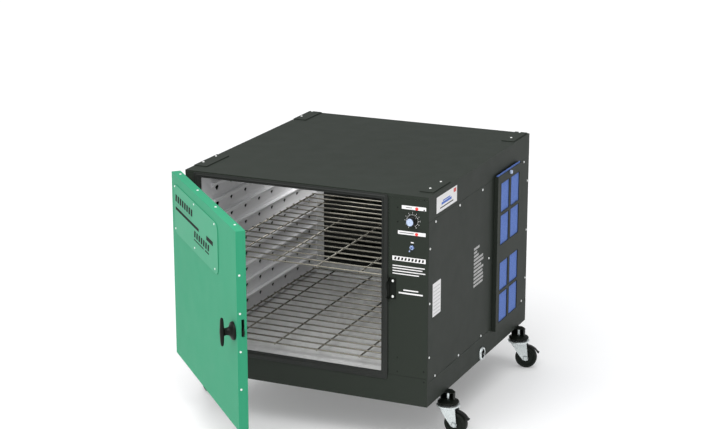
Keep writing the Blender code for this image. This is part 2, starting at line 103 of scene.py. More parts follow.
# ---------------------------------------------------------------- mesh helpers
def box(x, y, z):
    """Closed box from three ranges."""
    bm = bmesh.new()
    corners = [bm.verts.new((x[i], y[j], z[k])) for i in (0, 1) for j in (0, 1) for k in (0, 1)]
    for face in ((0, 1, 3, 2), (4, 6, 7, 5), (0, 4, 5, 1), (2, 3, 7, 6), (0, 2, 6, 4), (1, 5, 7, 3)):
        bm.faces.new([corners[i] for i in face])
    bmesh.ops.recalc_face_normals(bm, faces=bm.faces)
    return bm


def prism(outline, axis, low, high):
    """Extrude a closed outline along one axis; the outline is given in the other two."""
    def place(point, depth):
        a, b = point
        return {"x": (depth, a, b), "y": (a, depth, b), "z": (a, b, depth)}[axis]

    bm = bmesh.new()
    ends = [[bm.verts.new(place(point, depth)) for point in outline] for depth in (low, high)]
    bm.faces.new(ends[0])
    bm.faces.new(ends[1])
    count = len(outline)
    for i in range(count):
        j = (i + 1) % count
        bm.faces.new((ends[0][i], ends[0][j], ends[1][j], ends[1][i]))
    bmesh.ops.recalc_face_normals(bm, faces=bm.faces)
    return bm


def skin(rings, closed_loop=False):
    """Join rings of equal length into one closed surface, capped or joined end to end."""
    bm = bmesh.new()
    loops = [[bm.verts.new(point) for point in ring] for ring in rings]
    pairs = list(zip(loops, loops[1:]))
    if closed_loop:
        pairs.append((loops[-1], loops[0]))
    count = len(loops[0])
    for lower, upper in pairs:
        for i in range(count):
            j = (i + 1) % count
            bm.faces.new((lower[i], lower[j], upper[j], upper[i]))
    if not closed_loop:
        bm.faces.new(loops[0])
        bm.faces.new(loops[-1])
    bmesh.ops.recalc_face_normals(bm, faces=bm.faces)
    return bm


def revolve(profile, centre, axis="y", segments=32):
    """Turn (radius, height) points about an axis; height runs to the front, the right or up."""
    turn = {"y": Matrix.Rotation(math.pi / 2, 3, "X"), "x": Matrix.Rotation(math.pi / 2, 3, "Y"),
            "z": Matrix.Identity(3)}[axis]
    bm = bmesh.new()
    rings = []
    for radius, height in profile:
        if radius < 1e-6:
            rings.append([bm.verts.new(turn @ Vector((0, 0, height)) + Vector(centre))])
            continue
        ring = []
        for k in range(segments):
            angle = 2 * math.pi * k / segments
            local = Vector((radius * math.cos(angle), radius * math.sin(angle), height))
            ring.append(bm.verts.new(turn @ local + Vector(centre)))
        rings.append(ring)
    for lower, upper in zip(rings, rings[1:]):
        for k in range(segments):
            n = (k + 1) % segments
            corners = [lower[k % len(lower)], lower[n % len(lower)]]
            corners += [upper[n % len(upper)], upper[k % len(upper)]]
            unique = list(dict.fromkeys(corners))
            if len(unique) > 2:
                bm.faces.new(unique)
    bmesh.ops.recalc_face_normals(bm, faces=bm.faces)
    return bm


def ring_about(centre, side, up, radius, sides):
    """Circle of points round a centre, in the plane of two directions."""
    angles = [2 * math.pi * k / sides for k in range(sides)]
    return [centre + (side * math.cos(a) + up * math.sin(a)) * radius for a in angles]


def tube(points, radius, sides=12):
    """Round bar along a path, with slightly domed ends."""
    path = [Vector(p) for p in points]
    last = len(path) - 1
    dome_radius, dome_reach = radius * 0.6, radius * 0.35
    side = (path[1] - path[0]).normalized().orthogonal().normalized()
    rings = []
    for i, point in enumerate(path):
        ahead = (path[min(i + 1, last)] - path[max(i - 1, 0)]).normalized()
        side = (side - ahead * side.dot(ahead)).normalized()
        up = ahead.cross(side)
        if i == 0:
            rings.append(ring_about(point - ahead * dome_reach, side, up, dome_radius, sides))
        rings.append(ring_about(point, side, up, radius, sides))
        if i == last:
            rings.append(ring_about(point + ahead * dome_reach, side, up, dome_radius, sides))
    return skin(rings)


def settled(name, bm):
    """Turn an edited mesh into mesh data."""
    mesh = bpy.data.meshes.new(name)
    bm.to_mesh(mesh)
    bm.free()
    return mesh


def hang(name, data):
    """Put mesh data, a light, text or a camera into the scene."""
    item = bpy.data.objects.new(name, data)
    bpy.context.scene.collection.objects.link(item)
    return item


def several(parts):
    """Gather meshes into one."""
    whole = bmesh.new()
    for part in parts:
        mesh = settled("part", part)
        whole.from_mesh(mesh)
        bpy.data.meshes.remove(mesh)
    return whole


def moved(bm, matrix):
    """Move a mesh in place and hand it back."""
    bmesh.ops.transform(bm, matrix=matrix, verts=bm.verts)
    return bm


def rounded_rect(x, z, radius, steps=6):
    """Rectangle outline with rounded corners."""
    points = []
    corners = ((x[1] - radius, z[1] - radius, 0), (x[0] + radius, z[1] - radius, 90),
               (x[0] + radius, z[0] + radius, 180), (x[1] - radius, z[0] + radius, 270))
    for cx, cz, start in corners:
        for k in range(steps + 1):
            angle = math.radians(start + 90 * k / steps)
            points.append((cx + radius * math.cos(angle), cz + radius * math.sin(angle)))
    return points


def round_edges(bm, width, segments=2, sharp=math.radians(28)):
    """Bevel every sharp edge, as a fold or a moulded corner."""
    edges = [e for e in bm.edges if e.is_manifold and e.calc_face_angle() > sharp]
    bmesh.ops.bevel(bm, geom=edges, offset=width, offset_type="OFFSET", segments=segments,
                    profile=0.5, affect="EDGES", clamp_overlap=True)
    return bm


def make(name, bm, look, body, matrix=TO_ROW, fold=0.0, weighted=True, stands_for=()):
    """Put a mesh drawn in cabinet millimetres into the scene, riding on a body."""
    if fold:
        round_edges(bm, fold)
    mesh = settled(name, moved(bm, matrix))
    return place_mesh(name, mesh, look, body, weighted, stands_for)


def place_mesh(name, mesh, look, body, weighted, stands_for):
    """Link a mesh in metres; flat faces keep weighted normals, round ones a sharp-edge limit."""
    for face in mesh.polygons:
        face.use_smooth = True
    if not weighted:
        mesh.set_sharp_from_angle(angle=math.radians(35))
    piece = hang(name, mesh)
    mesh.materials.append(look)
    if weighted:
        modifier = piece.modifiers.new("flat_faces", "WEIGHTED_NORMAL")
        modifier.weight = 80
    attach(piece, body)
    if stands_for:
        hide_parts(*stands_for)
    return piece


def clean_copy(node):
    """A CAD node's mesh with its triangles merged back into flat faces, in metres."""
    bm = bmesh.new()
    bm.from_mesh(NODES[node].data)
    bmesh.ops.remove_doubles(bm, verts=bm.verts, dist=2e-6)
    bmesh.ops.dissolve_limit(bm, angle_limit=math.radians(0.6), verts=bm.verts, edges=bm.edges)
    return bm


def folded(node, look, fold, segments=2, holes=None):
    """Stand-in for a sheet-metal node with its folds and edges rounded."""
    mesh = settled(node + "_finished", round_edges(clean_copy(node), fold * MM, segments))
    if holes:
        mesh = pierced(mesh, holes)
    return place_mesh(node + "_finished", mesh, look, BODY_OF[node], True, [node])


def pierced(mesh, cutters):
    """Subtract cutters, drawn in cabinet millimetres, from a mesh in metres."""
    target = hang("target", mesh)
    tool = hang("cutters", settled("cutters", moved(cutters, TO_ROW)))
    modifier = target.modifiers.new("cut", "BOOLEAN")
    modifier.operation = "DIFFERENCE"
    modifier.solver = "EXACT"
    modifier.object = tool
    bpy.context.view_layer.update()
    cut = target.evaluated_get(bpy.context.evaluated_depsgraph_get())
    result = bpy.data.meshes.new_from_object(cut)
    for item in (target, tool):
        bpy.data.objects.remove(item)
    return result


# ---------------------------------------------------------------- finishes
GLOSS_SWING = 0.02


def noise_value(tree, vector, scale, detail):
    """Output of a noise texture read at a vector."""
    node = tree.nodes.new("ShaderNodeTexNoise")
    node.inputs["Scale"].default_value = scale
    node.inputs["Detail"].default_value = detail
    tree.links.new(vector, node.inputs["Vector"])
    return node.outputs["Fac"]


def shades(tree, value, levels, dark, light):
    """Colour that runs from dark to light while a value rises between two levels."""
    node = tree.nodes.new("ShaderNodeValToRGB")
    for k, colour in enumerate((dark, light)):
        node.color_ramp.elements[k].position = levels[k]
        node.color_ramp.elements[k].color = (*colour, 1)
    tree.links.new(value, node.inputs["Fac"])
    return node.outputs["Color"]


def relief(tree, value, strength, distance):
    """Raise and lower the surface by a value."""
    bump = tree.nodes.new("ShaderNodeBump")
    bump.inputs["Strength"].default_value = strength
    bump.inputs["Distance"].default_value = distance
    tree.links.new(value, bump.inputs["Height"])
    tree.links.new(bump.outputs["Normal"], tree.nodes["Principled BSDF"].inputs["Normal"])


def finish(name, colour, roughness, metallic=0.0, tint=0.06, tint_scale=6.0, stretch=(1, 1, 1),
           grain=0.05, grain_scale=900.0, specular=0.5, coat=0.0):
    """Procedural finish: uneven tint, uneven gloss and a fine surface grain, in object space."""
    look = bpy.data.materials.new(name)
    look.use_nodes = True
    tree = look.node_tree
    shader = tree.nodes["Principled BSDF"]
    shader.inputs["Metallic"].default_value = metallic
    shader.inputs["Specular IOR Level"].default_value = specular
    shader.inputs["Coat Weight"].default_value = coat
    shader.inputs["Coat Roughness"].default_value = 0.15

    coords = tree.nodes.new("ShaderNodeTexCoord")
    mapping = tree.nodes.new("ShaderNodeMapping")
    mapping.inputs["Scale"].default_value = stretch
    tree.links.new(coords.outputs["Object"], mapping.inputs["Vector"])
    place = mapping.outputs["Vector"]

    levels = (0.3, 0.7)
    dark = [c * (1 - tint) for c in colour]
    light = [min(1, c * (1 + tint)) for c in colour]
    shade = shades(tree, noise_value(tree, place, tint_scale, 3.0), levels, dark, light)
    tree.links.new(shade, shader.inputs["Base Color"])

    gloss = tree.nodes.new("ShaderNodeMapRange")
    gloss.inputs["From Min"].default_value, gloss.inputs["From Max"].default_value = levels
    gloss.inputs["To Min"].default_value = roughness - GLOSS_SWING
    gloss.inputs["To Max"].default_value = roughness + GLOSS_SWING
    tree.links.new(noise_value(tree, place, tint_scale * 7, 2.0), gloss.inputs["Value"])
    tree.links.new(gloss.outputs["Result"], shader.inputs["Roughness"])

    if grain:
        relief(tree, noise_value(tree, place, grain_scale, 2.0), grain, 0.0004)
    return look


def glowing(look, colour, strength):
    """Add a steady glow to a finish."""
    shader = look.node_tree.nodes["Principled BSDF"]
    shader.inputs["Emission Color"].default_value = (*colour, 1)
    shader.inputs["Emission Strength"].default_value = strength
    return look


def spangled(name, colour, roughness, metallic, spangle_scale, spangle):
    """Zinc-coated sheet: crystal patches of slightly different shade over a fine grain."""
    look = finish(name, colour, roughness, metallic, tint=0.05, tint_scale=3.0, grain=0.08,
                  grain_scale=500)
    tree = look.node_tree
    shader = tree.nodes["Principled BSDF"]
    base = shader.inputs["Base Color"].links[0].from_socket
    coords = next(n for n in tree.nodes if n.type == "TEX_COORD")
    crystals = tree.nodes.new("ShaderNodeTexVoronoi")
    crystals.inputs["Scale"].default_value = spangle_scale
    tree.links.new(coords.outputs["Object"], crystals.inputs["Vector"])
    split = tree.nodes.new("ShaderNodeSeparateColor")
    tree.links.new(crystals.outputs["Color"], split.inputs["Color"])
    level = tree.nodes.new("ShaderNodeMapRange")
    level.inputs["To Min"].default_value = 1.0 - spangle
    level.inputs["To Max"].default_value = 1.0
    tree.links.new(split.outputs["Red"], level.inputs["Value"])
    scaled = tree.nodes.new("ShaderNodeVectorMath")
    scaled.operation = "SCALE"
    tree.links.new(base, scaled.inputs[0])
    tree.links.new(level.outputs["Result"], scaled.inputs["Scale"])
    tree.links.new(scaled.outputs["Vector"], shader.inputs["Base Color"])
    return look


def fibre(name, dark, light):
    """Matted filter fibre: tangled strands drawn by two crossed, stretched noises."""
    look = finish(name, dark, 0.9, tint=0.1, grain=0.0)
    tree = look.node_tree
    shader = tree.nodes["Principled BSDF"]
    shader.inputs["Sheen Weight"].default_value = 0.1
    coords = next(n for n in tree.nodes if n.type == "TEX_COORD")
    strands = []
    for scale in ((1, 30, 6), (1, 6, 30)):
        mapping = tree.nodes.new("ShaderNodeMapping")
        mapping.inputs["Scale"].default_value = scale
        mapping.inputs["Rotation"].default_value = (0.5, 0, 0)
        tree.links.new(coords.outputs["Object"], mapping.inputs["Vector"])
        noise = tree.nodes.new("ShaderNodeTexNoise")
        noise.inputs["Scale"].default_value = 22.0
        noise.inputs["Detail"].default_value = 4.0
        noise.inputs["Distortion"].default_value = 0.6
        tree.links.new(mapping.outputs["Vector"], noise.inputs["Vector"])
        strands.append(noise.outputs["Fac"])
    mix = tree.nodes.new("ShaderNodeMath")
    mix.operation = "MAXIMUM"
    tree.links.new(strands[0], mix.inputs[0])
    tree.links.new(strands[1], mix.inputs[1])
    matted = mix.outputs[0]
    tree.links.new(shades(tree, matted, (0.42, 0.72), dark, light), shader.inputs["Base Color"])
    relief(tree, matted, 0.6, 0.001)
    return look


COAT = {"tint_scale": 2.0, "grain_scale": 1400}
CHARCOAL = finish("charcoal_powder_coat", (0.022, 0.0275, 0.0215), 0.55, tint=0.04, grain=0.10,
                  specular=0.14, **COAT)
GREEN = finish("green_powder_coat", (0.033, 0.292, 0.155), 0.55, tint=0.015, grain=0.08,
               specular=0.14, **COAT)
BADGE = finish("green_enamel", (0.038, 0.312, 0.168), 0.45, tint=0.015, grain=0.03,
               specular=0.16, **COAT)

LINER = finish("mill_finish_liner", (0.68, 0.68, 0.69), 0.45, 0.30, tint=0.08, tint_scale=14,
               stretch=(1, 0.12, 1), grain=0.10, grain_scale=260)
GALVANISED = spangled("galvanised_sheet", (0.62, 0.625, 0.62), 0.45, 0.35, 70, 0.14)
RACK = finish("nickel_wire", (0.30, 0.285, 0.24), 0.24, 1.0, tint=0.10, tint_scale=40, grain_scale=700)
ZINC = finish("bright_zinc", (0.68, 0.73, 0.73), 0.28, 0.85, tint=0.05, tint_scale=30, grain=0.04)
SCREW = finish("plated_screw", (0.86, 0.87, 0.85), 0.34, 0.35, tint=0.05, tint_scale=60, grain=0.03)
# cap and thumbscrew: the bluish base colour is a painted reflection of a blue highlight on light metal, not a dye
CAP_BLUE_REFLECTION = finish("cap_with_painted_blue_reflection", (0.50, 0.60, 0.80), 0.28, 0.55, tint=0.05, tint_scale=60, grain=0.04)
# toggle switch: nickel whose bluish base colour is a painted reflection of a blue highlight
NICKEL_BLUE_REFLECTION = finish("nickel_with_painted_blue_reflection", (0.42, 0.52, 0.76), 0.22, 0.85, tint=0.05, tint_scale=80, grain=0.03)
HEATER = finish("oxidised_sheath", (0.05, 0.045, 0.04), 0.55, 0.6, tint=0.15, tint_scale=18)

RUBBER = finish("door_seal_rubber", (0.017, 0.019, 0.017), 0.48, tint=0.10, grain=0.10,
                grain_scale=600, specular=0.2)
TREAD = finish("wheel_polymer", (0.010, 0.013, 0.010), 0.50, tint=0.14, tint_scale=50, grain=0.10,
               grain_scale=700, specular=0.15)
PLASTIC = finish("black_moulding", (0.009, 0.010, 0.009), 0.42, tint=0.10, tint_scale=30, grain=0.06,
                 specular=0.2)
BLACK_METAL = finish("black_enamel_metal", (0.007, 0.009, 0.007), 0.42, tint=0.10, grain=0.06,
                     specular=0.12)
FILTER = fibre("blue_filter_fibre", (0.055, 0.13, 0.42), (0.12, 0.23, 0.66))
LENS = glowing(finish("red_lens", (0.85, 0.02, 0.015), 0.12, tint=0.05, grain=0.0, coat=1.0),
               (1.0, 0.03, 0.02), 0.35)

PAPER = finish("label_film", (0.80, 0.79, 0.79), 0.45, tint=0.02, tint_scale=30, grain=0.03)
INK = finish("black_print", (0.005, 0.006, 0.005), 0.60, tint=0.10, grain=0.0, specular=0.08)
GREY_INK = finish("grey_print", (0.20, 0.20, 0.21), 0.60, tint=0.10, grain=0.0)
BLUE_INK = finish("blue_print", (0.03, 0.13, 0.55), 0.50, tint=0.08, grain=0.0)
RED_INK = finish("red_print", (0.62, 0.06, 0.05), 0.50, tint=0.08, grain=0.0)
PLATE_INK = finish("data_plate_print", (0.40, 0.40, 0.39), 0.5, tint=0.25, tint_scale=120, grain=0.0)
PALE_INK = finish("pale_grey_print", (0.58, 0.58, 0.58), 0.6, tint=0.05, grain=0.0)
FAINT_INK = finish("faint_print", (0.05, 0.19, 0.13), 0.5, tint=0.1, grain=0.0)

LOOK_OF_SLOT = {
    "charcoal": CHARCOAL, "door_green": GREEN, "badge": BADGE, "rubber": RUBBER, "liner_steel": LINER,
    "galvanised": GALVANISED, "shelf_wire": RACK, "zinc": ZINC, "wheel": TREAD, "black_plastic": PLASTIC,
    "black_metal": BLACK_METAL, "knob_cap": CAP_BLUE_REFLECTION, "nickel": NICKEL_BLUE_REFLECTION, "lamp_red": LENS,
    "filter_blue": FILTER, "heater_sheath": HEATER,
}


def paint_frame():
    """Give every CAD node the finish of its record slot."""
    for name, node in NODES.items():
        node.data.materials.clear()
        node.data.materials.append(LOOK_OF_SLOT[SLOTS[name]])


# ---------------------------------------------------------------- screws
def pan_head(radius, height, recess=True):
    """Low domed head with a cross recess, standing on the XY plane."""
    profile = [(radius * 0.98, -0.4), (radius, 0.1 * height), (radius * 0.93, 0.55 * height),
               (radius * 0.70, 0.87 * height), (radius * 0.42, height)]
    if recess:
        profile += [(radius * 0.34, height), (radius * 0.16, height * 0.35), (0, height * 0.30)]
    else:
        profile += [(0, height * 1.03)]
    return revolve(profile, (0, 0, 0), "z", 16)


def screws(name, spots, facing, body, radius=4.2, height=2.2, matrix=TO_ROW, look=SCREW, slot="zinc",
           recess=True):
    """A set of equal screw heads, joined into one piece.  facing is the direction they look."""
    turn = Vector((0, 0, 1)).rotation_difference(Vector(facing)).to_matrix().to_4x4()
    heads = []
    for k, spot in enumerate(spots):
        spin = Matrix.Rotation(0.7 * k, 4, "Z")
        place = Matrix.Translation(Vector(spot)) @ turn @ spin
        heads.append(moved(pan_head(radius, height, recess), place))
    return make(name, several(heads), look, body, matrix, weighted=False)


def rivets(name, spots, facing, look, slot, radius):
    """Low plain heads on the cabinet."""
    screws(name, spots, facing, "cabinet", radius, 0.9, look=look, slot=slot, recess=False)


# ---------------------------------------------------------------- cabinet shell
def build_shell():
    folded("base_pan", CHARCOAL, 1.6, 3)
    folded("top_panel", CHARCOAL, 2.6, 4)
    for node in ("left_side_panel", "right_side_panel", "rear_panel", "front_frame", "control_panel"):
        folded(node, CHARCOAL, 0.9)
    for corner in ("front_left", "front_right", "rear_left", "rear_right"):
        folded("corner_plate_" + corner, CHARCOAL, 1.2, 3)


def build_panel_screws():
    plate_top = HEIGHT + 3
    top = [(12, 105), (12, 195), (13, 867), (14, 957), (847, 862), (847, 951), (845, 98), (845, 189)]
    screws("corner_plate_screws", [(x, y, plate_top) for x, y in top], (0, 0, 1), "cabinet")

    lid_row = [(y, 617) for y in (61, 274, 488, 701, 910)]
    base_row = [(y, 89) for y in (66, 279, 494, 708, 916)]
    front_column = [(14, z) for z in (538, 353, 169)]
    rear_column = [(951, z) for z in (538, 353, 169)]
    shared = lid_row[:3] + lid_row[4:] + base_row[:3] + base_row[4:] + front_column + rear_column
    right = shared + [(561, 353)]
    left = lid_row + base_row + front_column + rear_column
    screws("right_side_screws", [(WIDTH, y, z) for y, z in right], (1, 0, 0), "cabinet")
    screws("left_side_screws", [(0, y, z) for y, z in left], (-1, 0, 0), "cabinet")

    rear = [(x, z) for x in (30, 235, 440, 645, 850) for z in (90, 617)]
    rear += [(x, z) for x in (20, 860) for z in (200, 353, 500)]
    screws("rear_screws", [(x, DEPTH, z) for x, z in rear], (0, 1, 0), "cabinet")

    front = [(773, 668), (773, 620), (774, 159), (774, 110), (867, 122), (868, 86), (865, 701)]
    rivets("front_rivets", [(x, 0, z) for x, z in front], (0, -1, 0), BLACK_METAL, "black_metal", 2.6)
    rim = [(14, z) for z in (170, 400, 640)]
    rivets("left_frame_rivets", [(x, 0, z) for x, z in rim], (0, -1, 0), BLACK_METAL, "black_metal", 2.6)


def build_seal():
    """Moulded door seal: a mounting lip, a round bead and a second lower lip."""
    low, high = span("door_gasket")
    depth = -low.y
    opening_x, opening_z = (61.0, 718.0), (105.0, 691.0)
    # share of the way from the outer rim to the opening, and share of the full depth
    sections = [(0.00, 0.05), (0.02, 0.45), (0.06, 0.62), (0.20, 0.66), (0.30, 0.72), (0.36, 0.90),
                (0.46, 1.0), (0.58, 1.0), (0.68, 0.88), (0.74, 0.62), (0.80, 0.50), (0.88, 0.62),
                (0.95, 0.66), (1.0, 0.52), (1.0, 0.05)]
    outer = rounded_rect((low.x, high.x), (low.z, high.z), 9)
    inner = rounded_rect(opening_x, opening_z, 4)
    rings = []
    for share, height in sections:
        y = -0.3 - (depth - 0.3) * height
        rings.append([(a[0] + (b[0] - a[0]) * share, y, a[1] + (b[1] - a[1]) * share)
                      for a, b in zip(outer, inner)])
    make("door_seal_moulded", skin(rings, closed_loop=True), RUBBER, "cabinet", weighted=False,
         stands_for=["door_gasket"])


# ---------------------------------------------------------------- chamber
def teardrop(y, z, half_width, head, tail):
    """Pressed vent outline: a wide round head that narrows to a blunt point below it."""
    arch = [math.radians(22.5 * k) for k in range(9)]
    points = [(y + half_width * math.cos(a), z + head * math.sin(a)) for a in arch]
    return points + [(y - half_width * 0.45, z - tail * 0.62), (y - half_width * 0.12, z - tail),
                     (y + half_width * 0.12, z - tail), (y + half_width * 0.45, z - tail * 0.62)]


def vent_cutters(reach):
    """Cutters for the vents of one wall: a wide one near the door and seven smaller in each row."""
    columns = (220, 324, 428, 528, 631, 735, 838)
    cutters = []
    for row in range(1, RIB_ROWS):
        level = RIB_FIRST + RIB_PITCH * row - 4
        cutters.append(prism(teardrop(117, level, 13.0, 7.5, 12.0), "x", *reach))
        cutters += [prism(teardrop(y, level, 10.0, 5.5, 8.5), "x", *reach) for y in columns]
    return several(cutters)


def build_liners():
    rows = [RIB_FIRST + RIB_PITCH * row for row in range(RIB_ROWS - 1)]
    for node, wall, inward in (("left_liner", LINER_X[0], 1), ("right_liner", LINER_X[1], -1)):
        folded(node, LINER, 2.0, holes=vent_cutters(sorted((wall - inward * 6, wall + inward * 16))))
        x = sorted((wall + inward * 0.1, wall + inward * 1.0))
        flanges = [box(x, (RIB_Y[0] - 8, RIB_Y[1]), (z + LEDGE, z + LEDGE + 10.5)) for z in rows]
        make(node + "_rail_flanges", several(flanges), LINER, "cabinet", fold=0.35)
        dots = [(wall, y, z + 44) for z in rows for y in (30, 896)]
        rivets(node + "_rivets", dots, (inward, 0, 0), GALVANISED, "galvanised", 2.4)

    folded("rear_liner", GALVANISED, 0.7)
    folded("air_baffle", PLASTIC, 0.7)


RACK_RODS = (-321.0, -235.0, -78.3, 78.3, 235.0, 321.0)
RACK_WIRES = 16
ROD_RADIUS, WIRE_RADIUS = 3.0, 2.7


def straight(start, end, radius, sides):
    """Round bar between two points."""
    start, end = Vector(start), Vector(end)
    return tube([start, (start + end) / 2, end], radius, sides)


def build_racks():
    """Wire racks: round rods front to back under closely set cross wires, with small welds."""
    weld = [(0, -1.1), (2.3, -0.8), (2.9, 0), (2.3, 0.8), (0, 1.1)]
    for node in ("lower_shelf", "upper_shelf"):
        low, high = span(node)
        middle = (low.x + high.x) / 2
        rod_z, wire_z = low.z + ROD_RADIUS, high.z - WIRE_RADIUS
        first, last = low.y + WIRE_RADIUS, high.y - WIRE_RADIUS
        rods = [middle + offset for offset in RACK_RODS]
        parts = [straight((x, low.y + 1, rod_z), (x, high.y - 1, rod_z), ROD_RADIUS, 14) for x in rods]
        for k in range(RACK_WIRES):
            y = first + (last - first) * k / (RACK_WIRES - 1)
            parts.append(straight((low.x + 0.7, y, wire_z), (high.x - 0.7, y, wire_z), WIRE_RADIUS, 12))
            parts += [revolve(weld, (x, y, (rod_z + wire_z) / 2), "z", 10) for x in rods]
        make(node + "_round_wire", several(parts), RACK, BODY_OF[node], weighted=False,
             stands_for=[node])


# ---------------------------------------------------------------- controls
def printed(name, parts, look):
    """Printed marks on the cabinet, joined into one piece."""
    make(name, several(parts), look, "cabinet")


def label_strip(name, x, z, lines=()):
    """Thin printed film on the control panel, with plain bars in place of its print."""
    film = prism(rounded_rect(x, z, 1.2, 3), "y", -0.45, -0.05)
    make(name, film, PAPER, "cabinet", fold=0.12)
    if lines:
        printed(name + "_bars", [box(bar_x, (-0.62, -0.40), bar_z) for bar_x, bar_z in lines], GREY_INK)


def build_control_labels():
    label_strip("lamp_label_upper", (787, 871), (665, 677), [((801, 822), (669.6, 672.2))])
    printed("lamp_label_dot", [box((862, 866.5), PRINT_ON_LABEL, (665.5, 670))], INK)
    label_strip("lamp_label_lower", (774, 870), (580, 592), [((779, 829), (584.5, 587.4))])
    switch_mark = prism(rounded_rect((819, 829), (554, 558), 1.5, 3), "y", -0.40, -0.05)
    printed("switch_mark", [switch_mark], PAPER)

    label_strip("panel_title_strip", (755, 871), (490, 505))
    blocks = []
    for k in range(9):
        left = 761 + 12 * k
        outline = [(left, 493), (left + 6.5, 493), (left + 9.0, 502), (left + 2.5, 502)]
        blocks.append(prism(outline, "y", *PRINT_ON_LABEL))
    printed("panel_title_blocks", blocks, INK)
    rules = ((471, 112), (462.5, 104), (453.5, 114), (444.5, 92))
    printed("panel_rules", [box((756, 756 + length), PRINT, (z, z + 3.4)) for z, length in rules], PAPER)
    mark = (((794, 846), (391, 395)), ((778, 862), (380, 385)))
    printed("panel_mark_bars", [box(x, PRINT, z) for x, z in mark], PAPER)


def round_dial(angle):
    """Move from the dial's axis, where a part points up, to an angle on the panel."""
    return Matrix.Translation(Vector(DIAL)) @ Matrix.Rotation(angle, 4, "Y")


def build_dial():
    """Scale round the knob: 21 ticks and the numbers 0 to 10 over 300 degrees."""
    ticks = []
    for k in range(21):
        angle = math.radians(240 - 15 * k)
        length = 4.6 if k % 2 == 0 else 3.0
        tick = box((-0.55, 0.55), PRINT, (18.2, 18.2 + length))
        ticks.append(moved(tick, round_dial(math.pi / 2 - angle)))
    printed("dial_ticks", ticks, PAPER)
    for k in range(11):
        dial_digit(k, math.radians(240 - 30 * k))


def build_knob():
    """Skirted knob with a ribbed barrel, a bright cap and a pointer."""
    barrel, rib_count = 12.0, 24
    skirt = revolve([(0, 0), (15.2, 0.7), (15.4, 3.0), (14.6, 8.0), (12.4, 9.6), (barrel, 10.0),
                     (barrel, 21.5), (0, 21.5)], DIAL, "y", 48)
    ribs = []
    for k in range(rib_count):
        rib = box((-0.55, 0.55), (-21.0, -10.2), (barrel - 0.2, barrel + 0.7))
        ribs.append(moved(rib, round_dial(2 * math.pi * k / rib_count)))
    make("knob_skirt", several([skirt, *ribs]), PLASTIC, "temperature_knob",
         weighted=False, stands_for=["thermostat_knob"])
    cap = revolve([(0, 20.8), (12.1, 20.8), (12.1, 23.9), (11.4, 24.8), (9.6, 25.0), (9.2, 24.7),
                   (3.0, 24.7), (0, 24.6)], DIAL, "y", 48)
    make("knob_cap", cap, CAP_BLUE_REFLECTION, "temperature_knob", weighted=False)
    pointer = box((-0.6, 0.6), (-2.9, -1.0), (13.2, 15.9))
    make("knob_pointer", moved(pointer, round_dial(0.9)), PAPER, "temperature_knob")


def build_switch_and_lamps():
    folded("toggle_switch_body", NICKEL_BLUE_REFLECTION, 0.5)
    lever = revolve([(0, -2.2), (1.7, -1.6), (1.9, 4), (2.1, 10), (2.7, 15), (3.0, 17.4), (2.6, 19.2),
                     (1.4, 19.9), (0, 20)], (0, 0, 0), "y", 24)
    down = Matrix.Rotation(math.radians(20), 4, "X")
    make("toggle_lever_turned", moved(lever, Matrix.Translation(Vector(TOGGLE)) @ down), NICKEL_BLUE_REFLECTION,
         "power_toggle", weighted=False, stands_for=["toggle_lever"])
    dome = [(0, 0.5), (5.0, 0.5), (5.3, 0.9), (5.1, 1.7), (4.3, 2.6), (2.6, 3.3), (0, 3.6)]
    for level, spot in LAMPS.items():
        make("lamp_lens_" + level, revolve(dome, spot, "y", 32), LENS, "cabinet",
             weighted=False, stands_for=["indicator_lamp_" + level])


def dial_digit(value, angle):
    """Small number on the temperature scale."""
    name = f"dial_number_{value}"
    curve = bpy.data.curves.new(name, "FONT")
    curve.body = str(value)
    curve.size = 5.2 * MM
    curve.extrude = 0.12 * MM
    curve.align_x, curve.align_y = "CENTER", "CENTER"
    text = hang(name, curve)
    radius = 26.2
    spot = (DIAL[0] + radius * math.cos(angle), -0.25, DIAL[2] + radius * math.sin(angle))
    text.location = CORNER + Vector(spot) * MM
    text.rotation_euler = (math.pi / 2, 0, 0)
    bpy.context.view_layer.update()
    mesh = bpy.data.meshes.new_from_object(text)
    mesh.transform(text.matrix_world)
    bpy.data.objects.remove(text)
    mesh.materials.clear()
    place_mesh(name, mesh, PAPER, "cabinet", False, ())


def build_keeper():
    folded("strike_plate", BLACK_METAL, 0.5)
    spots = [(758, -2.8, z) for z in (420, 367)]
    screws("keeper_screws", spots, (0, -1, 0), "cabinet", radius=4.4, height=2.4)


# ---------------------------------------------------------------- right side
def side_label(name, y, z):
    film = prism(rounded_rect(y, z, 2.0, 4), "x", WIDTH + 0.05, WIDTH + 0.40)
    make(name, film, PAPER, "cabinet", fold=0.12)


def side_bars(name, bars, look, lift=0.35):
    printed(name, [box((WIDTH + lift, WIDTH + lift + 0.22), y, z) for y, z in bars], look)


def build_side():
    side_label("side_sticker", (66, 245), (640, 694))
    side_bars("sticker_blue_band", [((108, 196), (660, 668)), ((120, 184), (670, 674))], BLUE_INK)
    side_bars("sticker_black_rule", [((96, 212), (650, 653.5))], INK)
    side_bars("sticker_red_corner", [((214, 236), (676, 689))], RED_INK)

    side_label("side_notice", (40, 110), (298, 411))
    side_bars("notice_lines", [((47, 103), (306 + 12.5 * k, 309.5 + 12.5 * k)) for k in range(8)], PALE_INK)

    lines = []
    for k, width in enumerate((88, 92, 90, 84, 92, 70, 92, 88, 46, 30, 52)):
        low = 288 + 13.2 * k
        lines.append(((414, 414 + width), (low, low + 8.2)))
    side_bars("data_plate_lines", lines, PLATE_INK, 0.05)

    folded("filter_holder", CHARCOAL, 0.9)
    rims = [window_rim(y, z) for y in ((633, 716), (734, 820))
            for z in ((95, 200), (212, 316), (381, 488), (500, 605))]
    make("window_rims", several(rims), CHARCOAL, "cabinet", weighted=False)
    build_filter_pad()
    build_thumbscrew()
    build_power_inlet()


